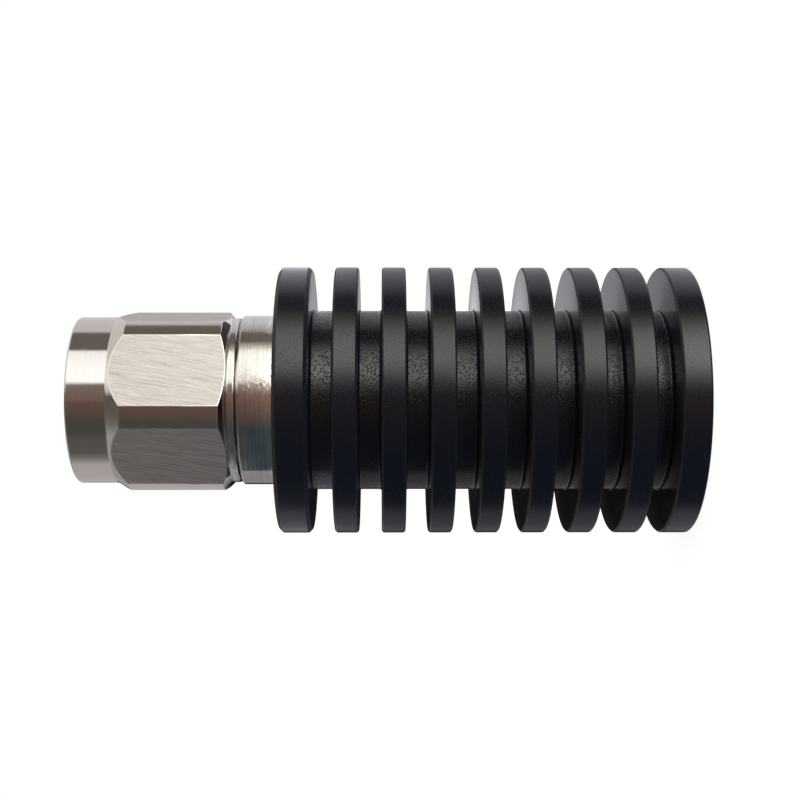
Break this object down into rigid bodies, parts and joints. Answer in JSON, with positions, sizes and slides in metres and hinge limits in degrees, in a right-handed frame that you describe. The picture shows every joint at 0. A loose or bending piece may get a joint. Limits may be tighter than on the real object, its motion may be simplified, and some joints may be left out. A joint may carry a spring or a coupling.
{
  "type": "rf dummy load",
  "caption": "Coaxial dummy load with a hexagon coupling nut, a slotted outer contact and centre pin, and a black turned heat sink with disc fins around an inner resistor.",
  "frame": {"origin": "centre of the heat sink's rear face, which it stands on", "axes": "+Z runs along the axis from the heat sink to the plug; -Y faces the viewer of the picture, and +X is up in the picture"},
  "size_m": [0.03, 0.03, 0.0683],
  "materials": {
    "black_anodised": "bead-blasted and black anodised",
    "turned_steel": "fine turned",
    "ground_steel": "ground flats and turned ends",
    "bronze": "drawn wire",
    "silicone": "soft matte",
    "silver_plate": "bright plated",
    "gold_plate": "bright plated",
    "white_polymer": "turned waxy",
    "copper": "turned",
    "chip_ceramic": "fired"
  },
  "bodies": {
    "load": {"heat_sink": "black_anodised", "connector_body": "turned_steel", "snap_ring": "bronze", "gasket": "silicone", "outer_contact": "silver_plate", "center_pin": "gold_plate", "insulator_bead": "white_polymer", "resistor_carrier": "copper", "resistor_chip": "chip_ceramic", "input_tab": "silver_plate"},
    "nut": {"coupling_nut": "ground_steel"}
  },
  "joints": [
    {"name": "nut_spin", "type": "hinge", "parent": "load", "child": "nut", "pos_m": [0, 0, 0.05915], "axis": [0, 0, 1], "continuous": true}
  ]
}
